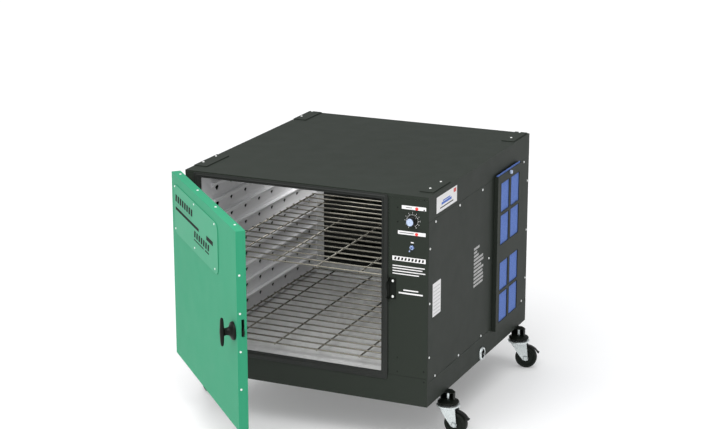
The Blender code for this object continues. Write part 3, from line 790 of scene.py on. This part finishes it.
def window_rim(y, z):
    """Low raised rim round one window of the filter holder."""
    outer = rounded_rect((y[0] - 2.0, y[1] + 2.0), (z[0] - 2.0, z[1] + 2.0), 2.5, 3)
    inner = rounded_rect((y[0] + 0.2, y[1] - 0.2), (z[0] + 0.2, z[1] - 0.2), 0.8, 3)
    sheet, raised = WIDTH + 15.0, WIDTH + 15.5
    steps = ((sheet, outer), (raised, outer), (raised, inner), (sheet, inner))
    return skin([[(x, *point) for point in ring] for x, ring in steps], closed_loop=True)


PAD_COLUMNS, PAD_ROWS = 60, 120


def pad_inset(y, z, column, row, side):
    """How far the mat's surface lies below its box: soft at the rim, slightly quilted inside."""
    rim = min(column, PAD_COLUMNS - column, row, PAD_ROWS - row)
    thin = 1.0 if rim < 0.5 else 0.35 if rim < 1.5 else 0.0
    quilt = 0.25 * math.sin(y / 9.0 + 1.3 * side) * math.sin(z / 11.0)
    return 0.45 + quilt + 0.15 * math.sin(y / 3.1 + z / 4.3) + 2.4 * thin


def build_filter_pad():
    """Fibre mat: two uneven sheets joined round the rim."""
    low, high = span("filter_pad")
    bm = bmesh.new()
    sheets = ([], [])
    for side, grid in enumerate(sheets):
        for i in range(PAD_COLUMNS + 1):
            y = low.y + (high.y - low.y) * i / PAD_COLUMNS
            strip = []
            for j in range(PAD_ROWS + 1):
                z = low.z + (high.z - low.z) * j / PAD_ROWS
                inset = pad_inset(y, z, i, j, side)
                strip.append(bm.verts.new((high.x - inset if side else low.x + inset, y, z)))
            grid.append(strip)
    for side, grid in enumerate(sheets):
        for i in range(PAD_COLUMNS):
            for j in range(PAD_ROWS):
                corners = (grid[i][j], grid[i + 1][j], grid[i + 1][j + 1], grid[i][j + 1])
                bm.faces.new(corners if side else corners[::-1])
    ends = [[(i, row) for i in range(PAD_COLUMNS + 1)] for row in (0, PAD_ROWS)]
    ends += [[(column, j) for j in range(PAD_ROWS + 1)] for column in (0, PAD_COLUMNS)]
    inner, outer = sheets
    for rim in ends:
        for (a, b), (c, d) in zip(rim, rim[1:]):
            bm.faces.new((inner[a][b], inner[c][d], outer[c][d], outer[a][b]))
    bmesh.ops.recalc_face_normals(bm, faces=bm.faces)
    pad = make("filter_mat", bm, FILTER, "filter_medium", weighted=False,
               stands_for=["filter_pad"])


def build_thumbscrew():
    """Knurled thumbscrew with a dished face."""
    low, high = span("filter_thumbscrew")
    y, z = (low.y + high.y) / 2, (low.z + high.z) / 2
    base = low.x
    radius = (high.y - low.y) / 2
    reach = high.x - base
    shank = 2.2
    profile = [(0, 0), (shank, 0), (shank, 2.6), (radius - 0.8, 2.7), (radius - 0.3, 3.4),
               (radius - 0.3, reach - 1.6), (radius - 1.2, reach - 0.5), (2.5, reach - 0.4),
               (shank, reach - 0.9), (0, reach - 0.9)]
    head = revolve(profile, (base, y, z), "x", 36)
    ribs = []
    rib_count = 18
    for k in range(rib_count):
        rib = box((base + 3.6, base + reach - 1.8), (-0.4, 0.4), (radius - 0.6, radius - 0.02))
        turn = Matrix.Rotation(2 * math.pi * k / rib_count, 4, "X")
        ribs.append(moved(rib, Matrix.Translation(Vector((0, y, z))) @ turn))
    make("thumbscrew_knurled", several([head, *ribs]), CAP_BLUE_REFLECTION, "filter_screw", weighted=False,
         stands_for=["filter_thumbscrew"])


def round_inlet(radius, angle):
    """Point on a circle round the inlet's axis."""
    return (INLET_Y + radius * math.cos(angle), INLET_Z + radius * math.sin(angle))


def build_power_inlet():
    """Twist-lock inlet: flanged ring, black sleeve and insert, three curved blades."""
    centre = (WIDTH, INLET_Y, INLET_Z)
    ring = revolve([(16.0, -19), (16.0, 5.6), (17.2, 7.0), (20.6, 7.0), (22.4, 5.4), (23.4, 2.8),
                    (23.4, 0.5), (18.4, 0.5), (18.4, -33), (0, -33), (0, -21), (16.0, -21)],
                   centre, "x", 48)
    make("inlet_ring", ring, ZINC, "cabinet", weighted=False, stands_for=["power_inlet"])
    insert = revolve([(0, -20.8), (15.8, -20.8), (15.8, -17.5), (0, -17.5)], centre, "x", 32)
    make("inlet_insert", insert, PLASTIC, "cabinet", weighted=False)
    sleeve = revolve([(15.95, -17.4), (15.4, -17.4), (15.4, 6.4), (15.95, 6.4), (15.95, -17.4)],
                     centre, "x", 48)
    make("inlet_sleeve", sleeve, PLASTIC, "cabinet", weighted=False)
    blades = []
    for k in range(3):
        arc = [math.radians(120 * k + 90 + step) for step in (-18, -9, 0, 9, 18)]
        outline = [round_inlet(12.6, a) for a in arc] + [round_inlet(10.0, a) for a in reversed(arc)]
        blades.append(prism(outline, "x", WIDTH - 17.6, WIDTH + 4.6))
    make("inlet_blades", several(blades), ZINC, "cabinet", fold=0.25)
    spots = [(WIDTH + 7.0, *round_inlet(19.6, a)) for a in (0.8, 0.8 + math.pi)]
    screws("inlet_screws", spots, (1, 0, 0), "cabinet", radius=1.9, height=0.9)


# ---------------------------------------------------------------- door
def door_screws(name, spots, facing, **size):
    screws(name, spots, facing, "door", matrix=DOOR_TO_ROW, **size)


def build_door():
    folded("door_skin", GREEN, 1.8, 3)
    folded("door_inner_panel", GALVANISED, 0.9)
    folded("door_badge_plate", BADGE, 0.9, 3)
    build_door_screws()
    build_badge_marks()


def build_door_screws():
    badge = [(DOOR_LEFT + u, BADGE_FACE, z) for u in (47.8, 289, 531) for z in (665.4, 519.7)]
    door_screws("badge_screws", badge, (0, -1, 0), radius=3.4, height=1.4)
    row = (49.8, 268, 481, 694)
    middle = DOOR_FACE + 18
    door_screws("door_top_screws", [(DOOR_LEFT + u, middle, DOOR_HIGH) for u in row], (0, 0, 1))
    door_screws("door_bottom_screws", [(DOOR_LEFT + u, middle, DOOR_LOW) for u in row], (0, 0, -1))
    rim = DOOR_FACE + 9.7
    edge = [(DOOR_RIGHT, rim, z) for z in (565.8, 444, 321.7, 199.6)]
    door_screws("door_edge_screws", edge, (1, 0, 0), radius=3.5, height=1.8)
    hinge_edge = [(DOOR_LEFT, rim, z) for z in (640, 444, 321.7, 120)]
    door_screws("door_hinge_edge_screws", hinge_edge, (-1, 0, 0))
    inner = [(x, DOOR_INNER, z) for x in (10, 245, 475, 715) for z in (80, 688)]
    inner += [(x, DOOR_INNER, z) for x in (10, 715) for z in (230, 540)]
    door_screws("door_inner_screws", inner, (0, 1, 0))


def badge_bar(left, width, z, slant=0.0):
    """Plain printed bar on the badge plate, measured from the hinge edge of the door."""
    low, high = DOOR_LEFT + left, DOOR_LEFT + left + width
    outline = [(low, z[0]), (high, z[0]), (high + slant, z[1]), (low + slant, z[1])]
    return prism(outline, "y", BADGE_FACE - 0.30, BADGE_FACE - 0.05)


def build_badge_marks():
    marks = [badge_bar(52 + 28 * k, 18, (617, 641), 5) for k in range(8)]
    marks += [badge_bar(54, 291, (588, 598)), badge_bar(436, 76, (588, 602))]
    marks += [badge_bar(285 + 27 * k, 16, (556, 578), 5) for k in range(7)]
    marks += [badge_bar(283, 117, (545, 549)), badge_bar(418, 44, (545, 550))]
    make("badge_stripes", several(marks), INK, "door", matrix=DOOR_TO_ROW)
    rules = [badge_bar(58 + 24 * k, 18, (605, 609)) for k in range(8)]
    make("badge_fine_rules", several(rules), FAINT_INK, "door", matrix=DOOR_TO_ROW)


def handle_bar(hub):
    """Bar of the T handle: fuller in the middle, thinner and rounded towards its ends."""
    stations, sides, squareness = 27, 24, 0.75
    rings = []
    for k in range(stations):
        t = -math.cos(math.pi * k / (stations - 1))
        swell = 1 - 0.22 * abs(t) ** 1.2 + 0.10 * math.exp(-(t / 0.28) ** 2)
        taper = math.sqrt(max(0.0, 1 - abs(t) ** 9)) * 0.96 + 0.04
        half, deep = 7.8 * swell * taper, 6.6 * swell * taper
        ring = []
        for s in range(sides):
            c, n = math.cos(2 * math.pi * s / sides), math.sin(2 * math.pi * s / sides)
            x = hub.x + half * math.copysign(abs(c) ** squareness, c)
            y = hub.y - 37.2 + deep * math.copysign(abs(n) ** squareness, n)
            ring.append((x, y, hub.z + 46.5 * t))
        rings.append(ring)
    return skin(rings)


def build_handle():
    """Cast T handle: thick rose, waisted neck and bar, with the cam inside the door edge."""
    hub = Vector((HANDLE_X, DOOR_FACE, HANDLE_Z))
    rose = revolve([(0, 0.35), (28.9, 0.35), (28.9, 4.6), (27.9, 6.8), (24.8, 8.8), (20.0, 10.6),
                    (16.2, 12.8), (13.6, 15.6), (12.2, 19.0), (11.5, 23.5), (11.8, 27.5), (12.8, 31.0),
                    (0, 31.0)], hub, "y", 40)
    make("t_handle_cast", several([rose, handle_bar(hub)]), BLACK_METAL, "door_latch",
         DOOR_TO_ROW, weighted=False, stands_for=["t_handle"])
    folded("latch_cam", BLACK_METAL, 0.8)


def build_hinges():
    for level in ("lower", "upper"):
        for side in ("body", "door"):
            folded(f"{side}_hinge_{level}", BLACK_METAL, 0.35)
        base = span(f"body_hinge_{level}")[0].z
        spots = [(-2.3, 14, base + 9), (-2.3, 25, base + 30)]
        screws(f"hinge_screws_{level}", spots, (-1, 0, 0), "cabinet", radius=2.6, height=1.1)


# ---------------------------------------------------------------- casters
LEG_OUT, LEG_IN = 19.6, 17.0
SKIRT_LEVELS = 5


def caster_places():
    """Swivel centre, heading and hub of each caster, from its joints."""
    for place in ("front_right", "rear_right", "front_left", "rear_left"):
        swivel = (Vector(JOINTS["swivel_" + place]["pos_m"]) - CORNER) / MM
        hub = (Vector(JOINTS["roll_" + place]["pos_m"]) - CORNER) / MM
        yield place, swivel, hub, math.atan2(hub.y - swivel.y, hub.x - swivel.x)


def build_casters():
    for place, swivel, hub, heading in caster_places():
        turn = Matrix.Translation(Vector((swivel.x, swivel.y, 0))) @ Matrix.Rotation(heading, 4, "Z")
        trail = math.hypot(hub.x - swivel.x, hub.y - swivel.y)
        to_row = TO_ROW @ turn
        build_fork(place, trail, hub.z, to_row)
        build_wheel(place, trail, hub.z, to_row)
        build_brake(place, trail, hub.z, to_row)
        build_socket(place, swivel)


def build_fork(place, trail, axle_z, to_row):
    """Pressed fork: turned crown, stem, two legs that taper to the axle and a rounded front skirt."""
    crown = [(0, -50), (38.4, -50), (39.8, -49.2), (40.3, -46.8), (39.6, -44.6), (36.5, -43.2),
             (31.0, -41.2), (26.0, -39.4), (0, -39.4)]
    stem = [(0, -40), (5.2, -40), (5.2, -5.0), (4.2, -3.9), (0, -3.9)]
    nut, pin = 6.2, 4.0
    axle = [(0, -24.0), (nut, -24.0), (nut, -20.2), (pin, -20.0), (pin, 20.0), (nut, 20.2),
            (nut, 24.0), (0, 24.0)]
    hub = (trail, 0, axle_z)
    parts = [revolve(crown, (0, 0, 0), "z", 48), revolve(stem, (0, 0, 0), "z", 24),
             revolve(axle, hub, "y", 24)]
    sections = fork_sections(trail, axle_z)
    for side in (-1, 1):
        outer, inner = side * LEG_OUT, side * LEG_IN
        parts.append(skin([[(edge, outer, z), (back, outer, z), (back, inner, z), (edge, inner, z)]
                           for _, edge, back, z in sections]))
        parts.append(revolve([(0, inner), (10.0, inner), (10.0, outer), (0, outer)], hub, "y", 28))
    parts.append(skin([skirt_ring(front, edge, z) for front, edge, _, z in sections[:SKIRT_LEVELS]]))
    make("fork_pressed_" + place, several(parts), ZINC, "fork_" + place, to_row, weighted=False,
         stands_for=["caster_fork_" + place])


def fork_sections(trail, axle_z):
    """Skirt front, leg front, leg back and height of the fork, from the crown down to the axle."""
    top, low = -49.0, axle_z - 8.0
    levels = 14
    sections = []
    for k in range(levels + 1):
        t = k / levels
        front = -32.0 + (trail + 23.0) * t ** 1.15
        edge = front + 9.0 * (1 - t) ** 2
        back = 31.0 + (trail - 22.0) * t ** 0.8
        sections.append((front, edge, back, top + (low - top) * t))
    return sections


def skirt_ring(front, edge, z):
    """Closed band that joins the two legs round the front."""
    angles = [math.radians(-90 + 18 * k) for k in range(11)]
    outer = [(edge - (edge - front) * math.cos(a), LEG_OUT * math.sin(a), z) for a in angles]
    inner = [(edge - (edge - front) * math.cos(a) + 2.6, LEG_IN * math.sin(a), z) for a in reversed(angles)]
    return outer + inner


def build_wheel(place, trail, axle_z, to_row):
    """Moulded wheel: crowned tread, stepped web and a raised hub, the same on both faces."""
    half = [(4.5, 13.6), (9.0, 13.8), (10.0, 13.0), (11.0, 9.6), (24.0, 8.8), (27.0, 9.6), (28.6, 12.6),
            (30.0, 13.4), (34.5, 13.6), (37.6, 12.6), (39.3, 9.4), (39.9, 5.0)]
    left = [(radius, -depth) for radius, depth in half]
    profile = [*left, (40.0, 0.0), *reversed(half), left[0]]
    make("wheel_moulded_" + place, revolve(profile, (trail, 0, axle_z), "y", 56), TREAD,
         "wheel_" + place, to_row, weighted=False, stands_for=["caster_wheel_" + place])


def build_brake(place, trail, axle_z, to_row):
    """Curved brake pedal over the wheel with a toe tab, as radius and angle about the axle."""
    inner = [(43.4, 96), (43.4, 84), (43.6, 70), (44.5, 56), (45.6, 43), (46.3, 31), (46.8, 25.0)]
    toe = [(48.6, 22.2), (51.2, 21.4), (51.8, 22.8), (51.5, 25.0), (49.8, 26.8)]
    outer = [(48.2, 31), (47.5, 44), (46.8, 57), (46.4, 70), (46.4, 84), (46.4, 96)]
    outline = []
    for radius, degrees in inner + toe + outer:
        a = math.radians(degrees)
        outline.append((trail + radius * math.cos(a), axle_z + radius * math.sin(a)))
    pedal = prism(outline, "y", -9, 9)
    round_edges(pedal, 0.7, 2, math.radians(40))
    make("brake_moulded_" + place, pedal, PLASTIC, "pedal_" + place, to_row,
         weighted=False, stands_for=["brake_pedal_" + place])


def build_socket(place, swivel):
    """Bracket that holds the caster, with the rivet on its cup."""
    folded("caster_socket_" + place, BLACK_METAL, 0.8)
    inward = -1 if swivel.x > WIDTH / 2 else 1
    spot = (swivel.x + inward * 34, swivel.y - 8, -33)
    head = [(0, 0), (2.8, 0), (3.2, 0.8), (2.8, 2.8), (1.7, 3.6), (0, 3.8)]
    make("cup_rivet_" + place, revolve(head, spot, "z", 20), ZINC, "cabinet", weighted=False)


# ---------------------------------------------------------------- studio
def build_floor():
    """Wide white floor that glows a little, so that it fades into the backdrop."""
    side, back = 30.0, 45.0
    corners = [(-side, -side, 0), (side, -side, 0), (side, back, 0), (-side, back, 0)]
    mesh = bpy.data.meshes.new("studio_floor")
    mesh.from_pydata(corners, [], [(0, 1, 2, 3)])
    floor = hang("studio_floor", mesh)
    white = finish("studio_white", (0.80, 0.80, 0.80), 0.55, tint=0.004, tint_scale=1.5, grain=0.0)
    mesh.materials.append(glowing(white, (1, 1, 1), 0.20))


def build_sky():
    world = bpy.data.worlds.new("studio")
    bpy.context.scene.world = world
    world.use_nodes = True
    background = world.node_tree.nodes["Background"]
    background.inputs["Color"].default_value = (0.97, 0.98, 1.0, 1)
    background.inputs["Strength"].default_value = 0.50


def soft_sun(name, azimuth, elevation, spread, strength):
    """Broad distant light; azimuth 0 shines from the front and 90 from the right."""
    light = bpy.data.lights.new(name, "SUN")
    light.angle = math.radians(spread)
    light.energy = strength
    a, e = math.radians(azimuth), math.radians(elevation)
    source = Vector((math.sin(a) * math.cos(e), -math.cos(a) * math.cos(e), math.sin(e)))
    hang(name, light).rotation_euler = source.to_track_quat("Z", "Y").to_euler()


def soft_panel(name, place, target, size, energy):
    """Square light panel, placed and aimed in cabinet millimetres."""
    light = bpy.data.lights.new(name, "AREA")
    light.size = size
    light.energy = energy
    holder = hang(name, light)
    holder.location = CORNER + Vector(place) * MM
    holder.rotation_euler = (Vector(place) - Vector(target)).to_track_quat("Z", "Y").to_euler()
    holder.visible_camera = False


def build_camera():
    """Camera in front of the right side, looking down; its place is in cabinet millimetres."""
    camera = bpy.data.cameras.new("camera")
    camera.sensor_width = 36.0
    camera.lens = 93.9
    camera.clip_end = 200.0
    holder = hang("camera", camera)
    holder.location = CORNER + Vector((3043.0, -5364.0, 2295.0)) * MM
    down, round_to_right = 15.83, 24.03
    holder.rotation_euler = (math.radians(90 - down), 0, math.radians(round_to_right))
    bpy.context.scene.camera = holder


def build_studio():
    build_floor()
    build_sky()
    soft_sun("overhead", -20, 72, 80, 1.95)
    soft_sun("front_fill", -8, 28, 60, 0.55)
    soft_panel("front_key", (500, -1200, 2050), (300, 100, 500), 1.0, 16.0)
    soft_panel("chamber_glow", (310, 740, 684), (310, 740, 0), 0.36, 1.2)
    soft_panel("corner_glow", (180, 810, 632), (56, 810, 632), 0.10, 0.55)
    build_camera()
    bpy.context.scene.view_settings.view_transform = "Standard"


paint_frame()
build_shell()
build_panel_screws()
build_seal()
build_liners()
build_racks()
build_control_labels()
build_dial()
build_knob()
build_switch_and_lamps()
build_keeper()
build_side()
build_door()
build_handle()
build_hinges()
build_casters()
build_studio()
